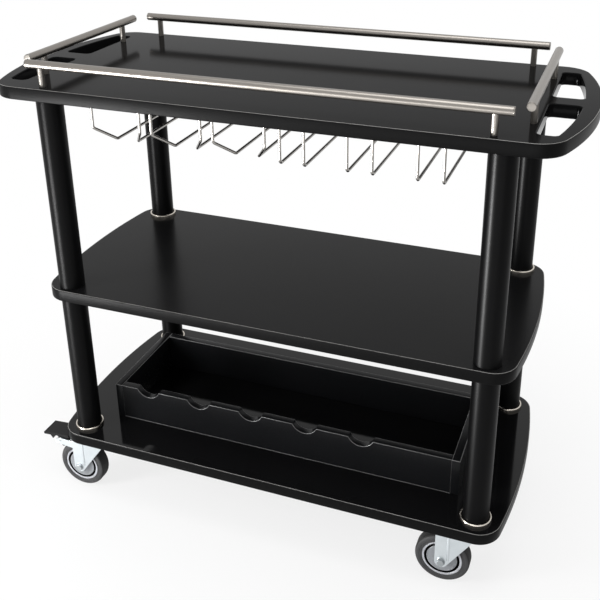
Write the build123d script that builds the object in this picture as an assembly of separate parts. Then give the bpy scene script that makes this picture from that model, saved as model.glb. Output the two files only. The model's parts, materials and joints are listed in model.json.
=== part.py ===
from build123d import *
import math
import os

os.makedirs("parts", exist_ok=True)

# Shelves: three laminated boards with bowed ends, the top one longest
shelf_length = 994.0
bottom_width = 472.0
middle_width = 446.0
shelf_bow_radius = 1200.0
shelf_corner_radius = 48.0
shelf_thickness = 25.0
shelf_edge_round = 2.5
top_end_overhang = 68.0
top_side_overhang = 4.0
top_bow_radius = 600.0
top_corner_radius = 55.0

# Grip openings: two at each end of the top shelf, with a web between them
grip_rim = 30.0
grip_depth = 56.0
grip_web = 44.0
grip_side_margin = 47.0
grip_arc_radius = 800.0
grip_corner_radius = 10.0
grip_edge_round = 1.5

# Posts: steel tubes with a glued plug in each end
post_diameter = 51.0
post_wall = 2.0
post_end_inset = 66.0
post_side_inset = 33.0
lower_post_length = 325.0
upper_post_length = 408.0
plug_length = 24.0
plug_gap = 0.05

# Threaded studs, countersunk bolts and the inserts of the top shelf
stud_diameter = 10.0
stud_reach = 20.0
stud_gap = 0.1
bolt_head_diameter = 18.0
bolt_head_height = 5.0
insert_diameter = 16.0
insert_depth = 16.0

# Trim rings at the feet of the lower posts and of the two upper posts at the back
collar_gap = 0.5
collar_width = 4.3
collar_height = 7.0
collar_land = 0.3

# Rails: tubes with end caps on coped standoffs
rail_diameter = 16.0
rail_wall = 1.5
rail_height = 42.0
long_rail_setback = 117.0
long_rail_inset = 18.0
long_standoff_inset = 30.0
side_rail_setback = 48.0
side_rail_inset = 97.0
side_standoff_inset = 51.0
standoff_diameter = 12.0
cap_thickness = 2.0
cap_round = 1.0
cap_spigot = 8.0
rail_screw_diameter = 5.0
rail_screw_head = 10.0
rail_screw_head_height = 3.0
rail_screw_reach = 15.0

# Stemware racks: bent wires under the top shelf, welded to flat straps
wire_diameter = 5.5
wire_bend_radius = 9.0
slot_spacing = 45.0
slot_pitch = 124.0
slot_count = 3
rack_gap = 7.0
rack_shift = 19.0
rack_drop = 79.0
flare_drop = 49.0
flare_spread = 27.5
flare_length = 36.0
rack_open_inset = 32.0
rack_closed_inset = 45.0
strap_width = 20.0
strap_thickness = 3.0
strap_margin = 8.0
strap_round = 6.0
rack_screw_diameter = 4.0
rack_screw_head = 8.0
rack_screw_head_height = 2.4
rack_screw_reach = 15.0

# Bottle rack: four boards on the bottom shelf, neck notches in the front one
bottle_end_gap = 110.0
bottle_rack_depth = 230.0
bottle_rack_offset = -27.0
bottle_rack_height = 82.0
bottle_board = 16.5
bottle_edge = 0.8
notch_radius = 29.0
notch_depth = 17.0
notch_pitch = 122.0
notch_count = 6
dowel_diameter = 8.0
dowel_length = 24.0
dowel_inset = 20.0
dowel_gap = 0.05
bottle_screw_diameter = 5.0
bottle_screw_head = 10.0
bottle_screw_head_height = 3.0
bottle_screw_reach = 30.0
bottle_screw_inset = 60.0

# Casters: swivel top plate, pressed fork, tyred wheel
caster_end_inset = 82.0
caster_side_inset = 46.0
wheel_diameter = 110.0
wheel_width = 30.0
wheel_trail = 42.0
tyre_depth = 14.5
tyre_round = 7.0
tyre_groove_width = 1.2
rim_width = 5.0
rim_inset = 1.5
groove_width = 4.5
groove_depth = 6.0
hub_boss_diameter = 24.0
hub_side_gap = 1.0
leg_gap = 4.5
leg_thickness = 3.0
leg_boss_radius = 13.0
leg_fold_offset = 13.0
leg_fold_angle = 10.0
crown_reach = 22.0
crown_thickness = 3.5
crown_lip = 8.0
tyre_gap = 16.0
swivel_gap = 1.0
crown_race_height = 1.5
race_height = 5.0
race_diameter = 52.0
race_taper = 3.0
kingpin_diameter = 12.0
kingpin_gap = 0.1
kingpin_head_diameter = 20.0
kingpin_head_height = 4.0
kingpin_head_gap = 0.5
plate_length = 76.0
plate_width = 58.0
plate_thickness = 3.0
plate_corner = 6.0
plate_hole_length = 60.0
plate_hole_width = 42.0
plate_screw_diameter = 5.0
plate_screw_head = 9.0
plate_screw_head_height = 2.6
plate_screw_reach = 16.0
axle_diameter = 10.0
axle_gap = 0.08
axle_head_flats = 16.0
axle_head_height = 6.0
axle_nut_height = 7.0
axle_stub = 3.0

# Brakes of two opposite corners: a pedal on a pin between two fork arms
braked_corners = ("fl", "br")
pedal_pivot_reach = 44.0
pedal_pivot_drop = 14.5
pedal_pin_diameter = 6.0
pedal_pin_gap = 0.1
pedal_pin_head = 9.0
pedal_pin_head_height = 1.2
arm_radius = 6.5
arm_tip_reach = 8.0
arm_tip_drop = 3.0
arm_tip_radius = 5.5
arm_root_drop = 9.0
arm_root_height = 18.0
pedal_gap = 1.5
pedal_half_width = 21.0
pedal_front = 22.0
pedal_reach = 43.0
pedal_thickness = 6.5
pedal_rise = 10.0
pedal_tip_drop = 3.0
pedal_nib_reach = 20.0
pedal_nib_width = 12.0
pedal_nib_height = 10.0
pedal_knuckle_radius = 6.5
shoe_radius = 4.0
shoe_gap = 2.6
shoe_angle = 134.0
shoe_arm_width = 7.0

# Levels, from the floor up
axle_z = wheel_diameter / 2
crown_under = wheel_diameter + tyre_gap
crown_top = crown_under + crown_thickness
race_under = crown_top + crown_race_height + swivel_gap
plate_under = race_under + race_height
bottom_under = plate_under + plate_thickness
bottom_top = bottom_under + shelf_thickness
middle_under = bottom_top + lower_post_length
middle_top = middle_under + shelf_thickness
top_under = middle_top + upper_post_length
top_top = top_under + shelf_thickness
rail_z = top_top + rail_height

# Plan positions, from the middle of the shelves out
top_length = shelf_length + 2 * top_end_overhang
top_width = bottom_width + 2 * top_side_overhang
post_x = shelf_length / 2 - post_end_inset
post_y = middle_width / 2 - post_side_inset
caster_x = shelf_length / 2 - caster_end_inset
caster_y = bottom_width / 2 - caster_side_inset
corners = {
    "fl": (-1, -1),
    "fr": (1, -1),
    "bl": (-1, 1),
    "br": (1, 1),
}
posts_at = [(sx * post_x, sy * post_y) for sx, sy in corners.values()]
back_posts_at = [(x, y) for x, y in posts_at if y > 0]
casters_at = {name: (sx * caster_x, sy * caster_y) for name, (sx, sy) in corners.items()}


def save(shape, node):
    export_step(shape, "parts/" + node + ".step")


def group(shapes):
    return Compound(children=list(shapes))


def rod(radius, z0, z1):
    return Pos(0, 0, z0) * Cylinder(
        radius, z1 - z0, align=(Align.CENTER, Align.CENTER, Align.MIN)
    )


def rod_y(radius, y0, y1, x, z):
    return Pos(x, y0, z) * Rot(-90, 0, 0) * Cylinder(
        radius, y1 - y0, align=(Align.CENTER, Align.CENTER, Align.MIN)
    )


def cone(radius0, radius1, z0, z1):
    return Pos(0, 0, z0) * Cone(
        radius0, radius1, z1 - z0, align=(Align.CENTER, Align.CENTER, Align.MIN)
    )


def block(x0, x1, y0, y1, z0, z1):
    return Pos((x0 + x1) / 2, (y0 + y1) / 2, (z0 + z1) / 2) * Box(x1 - x0, y1 - y0, z1 - z0)


# Countersunk screw pointing up, its head flush with the face at z0
def flush_screw(diameter, head, head_height, z0, z1):
    return cone(head / 2, diameter / 2, z0, z0 + head_height) + rod(diameter / 2, z0, z1)


# Pan-head screw pointing up, its head under the face at z0
def pan_screw(diameter, head, head_height, z0, z1):
    pan = rod(head / 2, z0 - head_height, z0)
    pan = fillet(pan.edges().sort_by(Axis.Z)[0], head_height * 0.45)
    return pan + rod(diameter / 2, z0, z1)


# Board outline: straight long sides, bowed ends, rounded corners
def bowed_board(length, width, bow_radius, corner_radius, z0):
    half = length / 2
    side = width / 2
    end = half - bow_radius + math.sqrt(bow_radius**2 - side**2)
    with BuildSketch() as outline:
        with BuildLine():
            Line((-end, -side), (end, -side))
            ThreePointArc((end, -side), (half, 0), (end, side))
            Line((end, side), (-end, side))
            ThreePointArc((-end, side), (-half, 0), (-end, -side))
        make_face()
        fillet(outline.vertices(), corner_radius)
    board = extrude(outline.sketch, shelf_thickness)
    rims = board.edges().group_by(Axis.Z)
    board = fillet(rims[0] + rims[-1], shelf_edge_round)
    return Pos(0, 0, z0) * board


# Grip opening at the right end: straight inner side, curved outer side
def grip_opening(sy):
    outer = top_length / 2 - grip_rim
    inner = outer - grip_depth
    near = sy * grip_web / 2
    far = sy * (top_width / 2 - grip_side_margin)
    centre = outer - grip_arc_radius
    middle = (near + far) / 2

    def on_arc(y):
        return (centre + math.sqrt(grip_arc_radius**2 - y**2), y)

    with BuildSketch() as outline:
        with BuildLine():
            Line((inner, near), on_arc(near))
            ThreePointArc(on_arc(near), on_arc(middle), on_arc(far))
            Line(on_arc(far), (inner, far))
            Line((inner, far), (inner, near))
        make_face()
        fillet(outline.vertices(), grip_corner_radius)
    return outline.sketch


# Top shelf with its grips and the blind bores of the inserts
top_shelf = bowed_board(top_length, top_width, top_bow_radius, top_corner_radius, top_under)
for sy in (-1, 1):
    right = Pos(0, 0, top_under) * extrude(grip_opening(sy), shelf_thickness)
    for opening in (right, mirror(right, about=Plane.YZ)):
        top_shelf = top_shelf - opening
grip_z = (top_under, top_top)
grip_rims = [
    e
    for e in top_shelf.edges()
    if e.bounding_box().size.Z < 0.01
    and min(abs(e.center().Z - z) for z in grip_z) < 0.01
    and abs(e.center().X) > top_length / 2 - grip_rim - grip_depth - 1
    and abs(e.center().Y) < top_width / 2 - grip_side_margin + 1
]
top_shelf = fillet(grip_rims, grip_edge_round)
insert_bore = rod(insert_diameter / 2, top_under, top_under + insert_depth)
for x, y in posts_at:
    top_shelf = top_shelf - Pos(x, y, 0) * insert_bore

# Middle and bottom shelf
middle_shelf = bowed_board(
    shelf_length, middle_width, shelf_bow_radius, shelf_corner_radius, middle_under
)
bottom_shelf = bowed_board(
    shelf_length, bottom_width, shelf_bow_radius, shelf_corner_radius, bottom_under
)
stud_bore = stud_diameter / 2 + stud_gap
bolt_hole = rod(stud_bore, bottom_under, bottom_top) + cone(
    bolt_head_diameter / 2, stud_bore, bottom_under, bottom_under + bolt_head_height
)
for x, y in posts_at:
    middle_shelf = middle_shelf - Pos(x, y, 0) * rod(stud_bore, middle_under, middle_top)
    bottom_shelf = bottom_shelf - Pos(x, y, 0) * bolt_hole

# Posts, plugs, studs, inserts and trim rings
post_bore = post_diameter / 2 - post_wall


def post(z0, z1):
    return rod(post_diameter / 2, z0, z1) - rod(post_bore, z0, z1)


def plug(z0, z1):
    return rod(post_bore - plug_gap, z0, z1) - rod(stud_bore, z0, z1)


lower_post = post(bottom_top, middle_under)
upper_post = post(middle_top, top_under)
plug_spans = (
    (bottom_top, bottom_top + plug_length),
    (middle_under - plug_length, middle_under),
    (middle_top, middle_top + plug_length),
    (top_under - plug_length, top_under),
)
bottom_bolt = flush_screw(
    stud_diameter, bolt_head_diameter, bolt_head_height, bottom_under, bottom_top + stud_reach
)
middle_stud = rod(stud_diameter / 2, middle_under - stud_reach, middle_top + stud_reach)
top_stud = rod(stud_diameter / 2, top_under - stud_reach, top_under + insert_depth)
insert = insert_bore - rod(stud_bore, top_under, top_under + insert_depth)
collar_bore = post_diameter / 2 + collar_gap
collar = rod(collar_bore + collar_width, 0, collar_height) - rod(collar_bore, 0, collar_height)
collar_rims = collar.edges().filter_by(GeomType.CIRCLE).group_by(Axis.Z)[-1]
collar = fillet(collar_rims, (collar_width - collar_land) / 2)

for name, (sx, sy) in corners.items():
    here = Pos(sx * post_x, sy * post_y, 0)
    save(here * lower_post, "lower_post_" + name)
    save(here * upper_post, "upper_post_" + name)
plugs = [Pos(x, y, 0) * plug(*span) for x, y in posts_at for span in plug_spans]
studs = [Pos(x, y, 0) * s for x, y in posts_at for s in (bottom_bolt, middle_stud, top_stud)]
save(group(plugs), "post_plugs")
save(group(studs), "post_studs")
save(group([Pos(x, y, 0) * insert for x, y in posts_at]), "shelf_inserts")
save(group([Pos(x, y, middle_top) * collar for x, y in back_posts_at]), "collars_middle")
save(group([Pos(x, y, bottom_top) * collar for x, y in posts_at]), "collars_bottom")

# Rails round the top shelf
long_rail = top_length - 2 * long_rail_setback
side_rail = top_width - 2 * side_rail_setback
long_rail_y = top_width / 2 - long_rail_inset
side_rail_x = top_length / 2 - side_rail_inset
rail_bore = rail_diameter / 2 - rail_wall


# Rail tube along X about its own middle, and its two caps
def rail_tube(length):
    half = length / 2 - cap_thickness
    tube = rod(rail_diameter / 2, -half, half) - rod(rail_bore, -half, half)
    return Rot(0, 90, 0) * tube


def rail_caps(length):
    seat = length / 2 - cap_thickness
    disc = rod(rail_diameter / 2, seat, seat + cap_thickness)
    disc = fillet(disc.edges().sort_by(Axis.Z)[-1], cap_round)
    cap = disc + rod(rail_bore - plug_gap, seat - cap_spigot, seat)
    return [Rot(0, 90, 0) * cap, Rot(0, -90, 0) * cap]


# Standoff with a saddle end under a rail along X, and a blind screw hole
standoff = rod(standoff_diameter / 2, top_top, rail_z)
standoff = standoff - Pos(0, 0, rail_z) * Rot(0, 90, 0) * Cylinder(
    rail_diameter / 2, 2 * standoff_diameter
)
standoff = standoff - rod(rail_screw_diameter / 2, top_top, top_top + rail_screw_reach)
rail_screw = flush_screw(
    rail_screw_diameter,
    rail_screw_head,
    rail_screw_head_height,
    top_under,
    top_top + rail_screw_reach,
)

rails = {
    "front_rail": (Pos(0, -long_rail_y, rail_z), long_rail, long_standoff_inset),
    "back_rail": (Pos(0, long_rail_y, rail_z), long_rail, long_standoff_inset),
    "left_rail": (Pos(-side_rail_x, 0, rail_z) * Rot(0, 0, 90), side_rail, side_standoff_inset),
    "right_rail": (Pos(side_rail_x, 0, rail_z) * Rot(0, 0, 90), side_rail, side_standoff_inset),
}
caps = []
standoffs = []
rail_screws = []
for node, (here, length, inset) in rails.items():
    save(here * rail_tube(length), node)
    caps += [here * cap for cap in rail_caps(length)]
    for side in (-1, 1):
        foot = here * Pos(side * (length / 2 - inset), 0, -rail_z)
        standoffs.append(foot * standoff)
        rail_screws.append(foot * rail_screw)
        top_shelf = top_shelf - foot * rail_screw
save(group(caps), "rail_caps")
save(group(standoffs), "rail_standoffs")
save(group(rail_screws), "rail_screws")

# Stemware racks: the left one opens to the front, the right one to the back
strap_under = top_under - strap_thickness
ledge_z = top_under - rack_drop
flare_z = top_under - flare_drop
open_y = top_width / 2 - rack_open_inset
closed_y = top_width / 2 - rack_closed_inset
slots = [slot_pitch * (i - (slot_count - 1) / 2) for i in range(slot_count)]


# One wire of a slot, on the side given by its sign, open end to the front
def rack_wire(slot_x, sign):
    inner_x = slot_x + sign * slot_spacing / 2
    outer_x = inner_x + sign * flare_spread
    path = FilletPolyline(
        (outer_x, -open_y, strap_under),
        (outer_x, -open_y, flare_z),
        (inner_x, flare_length - open_y, ledge_z),
        (inner_x, closed_y, ledge_z),
        (inner_x, closed_y, strap_under),
        radius=wire_bend_radius,
    )
    start = Plane(origin=(outer_x, -open_y, strap_under), z_dir=(0, 0, -1))
    return sweep(start * Circle(wire_diameter / 2), path=path)


closed_half = slots[-1] + slot_spacing / 2 + strap_margin
open_half = closed_half + flare_spread
strap_holes = [x + slot_pitch / 2 for x in slots[:-1]]
rack_screw = pan_screw(
    rack_screw_diameter,
    rack_screw_head,
    rack_screw_head_height,
    strap_under,
    strap_under + rack_screw_reach,
)
rack_hole = rod(rack_screw_diameter / 2, strap_under, strap_under + rack_screw_reach)


def rack_strap(half, y):
    strap = block(-half, half, y - strap_width / 2, y + strap_width / 2, strap_under, top_under)
    strap = fillet(strap.edges().filter_by(Axis.Z), strap_round)
    for x in strap_holes:
        strap = strap - Pos(x, y, 0) * rack_hole
    return strap


rack_wires = [rack_wire(x, sign) for x in slots for sign in (-1, 1)]
rack_straps = [rack_strap(open_half, -open_y), rack_strap(closed_half, closed_y)]
rack_x = (open_half + closed_half + rack_gap) / 2
racks = {
    "left_rack": Pos(rack_shift - rack_x, 0, 0),
    "right_rack": Pos(rack_shift + rack_x, 0, 0) * Rot(0, 0, 180),
}
rack_screws = []
for name, here in racks.items():
    save(group([here * wire for wire in rack_wires]), name + "_wires")
    save(group([here * strap for strap in rack_straps]), name + "_straps")
    for y in (-open_y, closed_y):
        for x in strap_holes:
            rack_screws.append(here * Pos(x, y, 0) * rack_screw)
            top_shelf = top_shelf - here * Pos(x, y, 0) * rack_hole
save(group(rack_screws), "rack_screws")
save(top_shelf, "top_shelf")
save(middle_shelf, "middle_shelf")

# Bottle rack on the bottom shelf
bottle_rack_length = shelf_length - 2 * bottle_end_gap
rack_half = bottle_rack_length / 2
rack_inner = rack_half - bottle_board
rack_front = bottle_rack_offset - bottle_rack_depth / 2
rack_back = bottle_rack_offset + bottle_rack_depth / 2
rack_top = bottom_top + bottle_rack_height
notches = [notch_pitch * (i - (notch_count - 1) / 2) for i in range(notch_count)]
dowel_zs = (bottom_top + dowel_inset, rack_top - dowel_inset)
dowel_ys = (rack_front + bottle_board / 2, rack_back - bottle_board / 2)
dowel_blind = bottle_board / 2
screw_xs = (-rack_inner + bottle_screw_inset, rack_inner - bottle_screw_inset)
screw_spots = [(x, y) for x in screw_xs for y in dowel_ys]


def side_board(x0, x1):
    board = block(x0, x1, rack_front, rack_back, bottom_top, rack_top)
    return chamfer(board.edges(), bottle_edge)


def cross_board(y0, y1):
    return block(-rack_inner, rack_inner, y0, y1, bottom_top, rack_top)


front_board = cross_board(rack_front, rack_front + bottle_board)
for x in notches:
    front_board = front_board - rod_y(
        notch_radius,
        rack_front,
        rack_front + bottle_board,
        x,
        rack_top + notch_radius - notch_depth,
    )
front_lips = [e for e in front_board.edges() if e.center().Z > rack_top - notch_depth - 1]
front_lips = [e for e in front_lips if e.bounding_box().size.Y < 0.01]
front_lips = [e for e in front_lips if e.bounding_box().size.X > 0.01]
front_board = chamfer(front_lips, bottle_edge)
back_board = cross_board(rack_back - bottle_board, rack_back)
back_board = chamfer(back_board.edges().group_by(Axis.Z)[-1].filter_by(Axis.X), bottle_edge)
left_board = side_board(-rack_half, -rack_inner)
right_board = side_board(rack_inner, rack_half)

dowel = Rot(0, 90, 0) * Cylinder(dowel_diameter / 2, dowel_length)
dowel_hole = Rot(0, 90, 0) * Cylinder(dowel_diameter / 2 + dowel_gap, dowel_length + 1)
dowels = []
for z in dowel_zs:
    for y in dowel_ys:
        for side in (-1, 1):
            here = Pos(side * (rack_inner + dowel_blind - dowel_length / 2), y, z)
            dowels.append(here * dowel)
            left_board = left_board - here * dowel_hole
            right_board = right_board - here * dowel_hole
            front_board = front_board - here * dowel_hole
            back_board = back_board - here * dowel_hole

bottle_screw = flush_screw(
    bottle_screw_diameter,
    bottle_screw_head,
    bottle_screw_head_height,
    bottom_under,
    bottom_top + bottle_screw_reach,
)
for x, y in screw_spots:
    front_board = front_board - Pos(x, y, 0) * bottle_screw
    back_board = back_board - Pos(x, y, 0) * bottle_screw
    bottom_shelf = bottom_shelf - Pos(x, y, 0) * bottle_screw
save(left_board, "bottle_left_board")
save(right_board, "bottle_right_board")
save(front_board, "bottle_front_board")
save(back_board, "bottle_back_board")
save(group(dowels), "bottle_dowels")
save(group([Pos(x, y, 0) * bottle_screw for x, y in screw_spots]), "bottle_screws")

# Caster top plate: screw holes, upper race and riveted kingpin
plate_holes = [
    (sx * plate_hole_length / 2, sy * plate_hole_width / 2) for sx, sy in corners.values()
]
plate = block(
    -plate_length / 2,
    plate_length / 2,
    -plate_width / 2,
    plate_width / 2,
    plate_under,
    bottom_under,
)
plate = fillet(plate.edges().filter_by(Axis.Z), plate_corner)
plate_hole = rod(plate_screw_diameter / 2, plate_under, plate_under + plate_screw_reach)
for x, y in plate_holes:
    plate = plate - Pos(x, y, 0) * plate_hole
race = cone(race_diameter / 2 - race_taper, race_diameter / 2, race_under, plate_under)
head_top = crown_under - kingpin_head_gap
kingpin_head = rod(kingpin_head_diameter / 2, head_top - kingpin_head_height, head_top)
kingpin_head = fillet(kingpin_head.edges().sort_by(Axis.Z)[0], kingpin_head_height * 0.6)
kingpin = rod(kingpin_diameter / 2, head_top - kingpin_head_height / 2, plate_under)
caster_plate = plate + race + kingpin + kingpin_head
plate_screw = pan_screw(
    plate_screw_diameter,
    plate_screw_head,
    plate_screw_head_height,
    plate_under,
    plate_under + plate_screw_reach,
)

# Pressed fork: legs that taper to the axle and fold inward ahead of it
leg_inner = wheel_width / 2 + leg_gap
leg_outer = leg_inner + leg_thickness
leg_rear = -wheel_trail - leg_boss_radius
leg_fold = -wheel_trail + leg_fold_offset
fold_tangent = math.tan(math.radians(leg_fold_angle))
fold_skin = leg_thickness / math.cos(math.radians(leg_fold_angle)) - leg_thickness
front_outer = leg_outer - (crown_reach - leg_fold) * fold_tangent
front_inner = front_outer - leg_thickness - fold_skin
pivot_x = -wheel_trail - pedal_pivot_reach
pivot_z = crown_top - pedal_pivot_drop


def prism_y(sketch, half):
    return extrude(Plane.XZ * sketch, half, both=True)


def hull_of(*shapes):
    edges = [e for shape in shapes for e in shape.edges()]
    return make_hull(edges)


def circle_at(x, z, radius):
    return Pos(x, z) * Circle(radius)


crown_strip = Pos((leg_rear + crown_reach) / 2, crown_top - crown_lip / 2) * Rectangle(
    crown_reach - leg_rear, crown_lip
)
leg_side = hull_of(crown_strip, circle_at(-wheel_trail, axle_z, leg_boss_radius))
arm_side = hull_of(
    Pos(leg_rear + 5, crown_top - arm_root_drop - arm_root_height / 2) * Rectangle(2, arm_root_height),
    circle_at(pivot_x, pivot_z, arm_radius),
    circle_at(pivot_x - arm_tip_reach, pivot_z - arm_tip_drop, arm_tip_radius),
)


# Space between the legs, under the crown
def fork_throat(rear):
    throat = Polyline(
        (rear, -leg_inner),
        (leg_fold, -leg_inner),
        (crown_reach + 1, -front_inner + fold_tangent),
        (crown_reach + 1, front_inner - fold_tangent),
        (leg_fold, leg_inner),
        (rear, leg_inner),
        close=True,
    )
    return extrude(make_face(throat), crown_under)


def make_fork(braked):
    rear = leg_rear
    side = prism_y(leg_side, leg_outer)
    if braked:
        rear = pivot_x - arm_tip_reach - arm_tip_radius - 1
        side = side + prism_y(arm_side, leg_outer)
    plan = Polyline(
        (rear, -leg_outer),
        (leg_fold, -leg_outer),
        (crown_reach, -front_outer),
        (crown_reach, front_outer),
        (leg_fold, leg_outer),
        (rear, leg_outer),
        close=True,
    )
    fork = extrude(make_face(plan), crown_top) & side
    fork = fork - fork_throat(rear - 1)
    if braked:
        fork = fork - block(rear - 1, leg_rear, -leg_inner, leg_inner, 0, crown_top + 1)
        fork = fork - rod_y(pedal_pin_diameter / 2, -leg_outer, leg_outer, pivot_x, pivot_z)
    fork = fork + rod(race_diameter / 2 - race_taper, crown_top, crown_top + crown_race_height)
    fork = fork - rod(
        kingpin_diameter / 2 + kingpin_gap, crown_under - 1, crown_top + crown_race_height + 1
    )
    return fork - rod_y(axle_diameter / 2, -leg_outer, leg_outer, -wheel_trail, axle_z)


# Axle: hexagon bolt from the front, nut at the back
def hexagon(y0, y1):
    prism = extrude(RegularPolygon(axle_head_flats / math.sqrt(3), 6), y1 - y0)
    return Pos(-wheel_trail, y0, axle_z) * Rot(-90, 0, 0) * prism


axle = rod_y(
    axle_diameter / 2, -leg_outer - 1, leg_outer + axle_nut_height + axle_stub, -wheel_trail, axle_z
)
axle_head = hexagon(-leg_outer - axle_head_height, -leg_outer)
axle_head = axle_head & rod_y(
    axle_head_flats * 0.56, -leg_outer - axle_head_height, -leg_outer, -wheel_trail, axle_z
)
axle_bolt = axle + axle_head
axle_nut = hexagon(leg_outer, leg_outer + axle_nut_height) - axle

# Wheel: revolved hub with a grooved face and a rounded tyre
wheel_radius = wheel_diameter / 2
hub_radius = wheel_radius - tyre_depth
rim_face = wheel_width / 2 - rim_inset
groove_outer = hub_radius - rim_width
groove_inner = groove_outer - groove_width
boss_face = leg_inner - hub_side_gap
hub_profile = Polyline(
    (axle_diameter / 2 + axle_gap, -boss_face),
    (hub_boss_diameter / 2, -boss_face),
    (hub_boss_diameter / 2, -rim_face),
    (groove_inner, -rim_face),
    (groove_inner, groove_depth - rim_face),
    (groove_outer, groove_depth - rim_face),
    (groove_outer, -rim_face),
    (hub_radius, -rim_face),
    (hub_radius, rim_face),
    (groove_outer, rim_face),
    (groove_outer, rim_face - groove_depth),
    (groove_inner, rim_face - groove_depth),
    (groove_inner, rim_face),
    (hub_boss_diameter / 2, rim_face),
    (hub_boss_diameter / 2, boss_face),
    (axle_diameter / 2 + axle_gap, boss_face),
    close=True,
)
tyre_outline = Pos((hub_radius + wheel_radius) / 2, 0) * Rectangle(tyre_depth, wheel_width)
tread_corners = tyre_outline.vertices().group_by(Axis.X)[-1]
tyre_profile = fillet(tread_corners, tyre_round)
for side in (-1, 1):
    ring_x = hub_radius + (tyre_depth - tyre_round) / 2
    tyre_profile = tyre_profile - Pos(ring_x, side * wheel_width / 2) * Rectangle(
        tyre_groove_width, tyre_groove_width
    )
at_axle = Pos(-wheel_trail, 0, axle_z) * Rot(-90, 0, 0)
hub = at_axle * revolve(make_face(hub_profile), Axis.Y).rotate(Axis.X, 90)
tyre = at_axle * revolve(tyre_profile, Axis.Y).rotate(Axis.X, 90)

# Brake pedal: sloping plate with nibs, knuckle on the pin, shoe on an arm
shoe_distance = wheel_radius + shoe_gap + shoe_radius
shoe_x = -wheel_trail + shoe_distance * math.cos(math.radians(shoe_angle))
shoe_z = axle_z + shoe_distance * math.sin(math.radians(shoe_angle))
pedal_under = pivot_z + pedal_rise
pedal_top = pedal_under + pedal_thickness
pedal_tip = pivot_x - pedal_reach
nib_x = pivot_x - pedal_nib_reach
plate_line = Polyline(
    (pivot_x + pedal_front, pedal_under),
    (pivot_x + pedal_front, pedal_top),
    (pivot_x, pedal_top),
    (pedal_tip, pedal_top - pedal_tip_drop),
    (pedal_tip, pedal_under - pedal_tip_drop),
    (nib_x - pedal_nib_width / 2, pedal_under - pedal_tip_drop / 2),
    (nib_x, pedal_under - pedal_nib_height),
    (nib_x + pedal_nib_width / 2, pedal_under),
    close=True,
)
pedal_plate = prism_y(make_face(plate_line), pedal_half_width)
pedal_plate = fillet(
    pedal_plate.edges().filter_by(Axis.Y).group_by(Axis.X)[0], pedal_thickness * 0.35
)
knuckle_half = leg_inner - pedal_gap
knuckle = prism_y(
    hull_of(
        circle_at(pivot_x, pivot_z, pedal_knuckle_radius),
        Pos(pivot_x, pedal_under + 1) * Rectangle(2 * pedal_knuckle_radius + 6, 2),
    ),
    knuckle_half,
)
shoe_arm = prism_y(
    hull_of(circle_at(pivot_x, pivot_z, shoe_arm_width / 2), circle_at(shoe_x, shoe_z, shoe_radius)),
    wheel_width / 2,
)
pedal = pedal_plate + knuckle + shoe_arm
pedal = pedal - rod_y(
    pedal_pin_diameter / 2 + pedal_pin_gap, -leg_outer, leg_outer, pivot_x, pivot_z
)
pin = rod_y(
    pedal_pin_diameter / 2, -leg_outer - 1, leg_outer + 1, pivot_x, pivot_z
)
for y in (-leg_outer - pedal_pin_head_height, leg_outer):
    pin = pin + rod_y(pedal_pin_head / 2, y, y + pedal_pin_head_height, pivot_x, pivot_z)

# The four casters, two of them braked
plate_screws = []
for name, (x, y) in casters_at.items():
    here = Pos(x, y, 0)
    braked = name in braked_corners
    save(here * caster_plate, "caster_plate_" + name)
    save(here * make_fork(braked), "fork_" + name)
    save(group([here * axle_bolt, here * axle_nut]), "axle_" + name)
    save(here * hub, "hub_" + name)
    save(here * tyre, "tyre_" + name)
    if braked:
        save(here * pedal, "brake_pedal_" + name)
        save(here * pin, "pedal_pin_" + name)
    for hole_x, hole_y in plate_holes:
        spot = here * Pos(hole_x, hole_y, 0)
        plate_screws.append(spot * plate_screw)
        bottom_shelf = bottom_shelf - spot * plate_hole
save(group(plate_screws), "plate_screws")
save(bottom_shelf, "bottom_shelf")
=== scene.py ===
import json
import math
import bmesh
import bpy
from mathutils import Matrix, Vector


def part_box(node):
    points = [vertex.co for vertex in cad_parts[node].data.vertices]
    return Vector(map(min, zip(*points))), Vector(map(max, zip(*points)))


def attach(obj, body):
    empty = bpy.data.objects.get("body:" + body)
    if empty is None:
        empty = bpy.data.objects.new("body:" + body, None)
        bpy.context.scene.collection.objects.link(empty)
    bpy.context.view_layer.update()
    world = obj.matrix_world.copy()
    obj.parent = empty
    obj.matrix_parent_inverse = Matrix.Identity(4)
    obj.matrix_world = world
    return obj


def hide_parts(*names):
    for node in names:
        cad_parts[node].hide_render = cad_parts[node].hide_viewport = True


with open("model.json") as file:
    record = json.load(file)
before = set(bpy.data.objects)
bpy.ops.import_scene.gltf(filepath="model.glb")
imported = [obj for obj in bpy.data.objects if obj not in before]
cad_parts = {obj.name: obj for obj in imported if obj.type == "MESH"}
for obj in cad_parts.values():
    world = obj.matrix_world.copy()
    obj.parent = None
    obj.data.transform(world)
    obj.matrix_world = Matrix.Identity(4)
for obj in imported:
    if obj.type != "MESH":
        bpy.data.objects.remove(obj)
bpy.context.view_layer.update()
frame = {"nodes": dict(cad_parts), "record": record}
cadNodes = frame["nodes"]
bodyOf = {n: b for b, group in frame["record"]["behaviour"]["bodies"].items() for n in group}
scene = bpy.context.scene
scene.view_settings.view_transform = "Standard"
print("frame loaded:", len(cadNodes), "nodes")


# shader groups that several finishes share

def newGroup(name, inputs, outputs):
    tree = bpy.data.node_groups.new(name, "ShaderNodeTree")
    for label, kind, value in inputs:
        socket = tree.interface.new_socket(label, in_out="INPUT", socket_type=kind)
        socket.default_value = value
    for label, kind in outputs:
        tree.interface.new_socket(label, in_out="OUTPUT", socket_type=kind)
    return tree, tree.nodes.new("NodeGroupInput"), tree.nodes.new("NodeGroupOutput")


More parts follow.
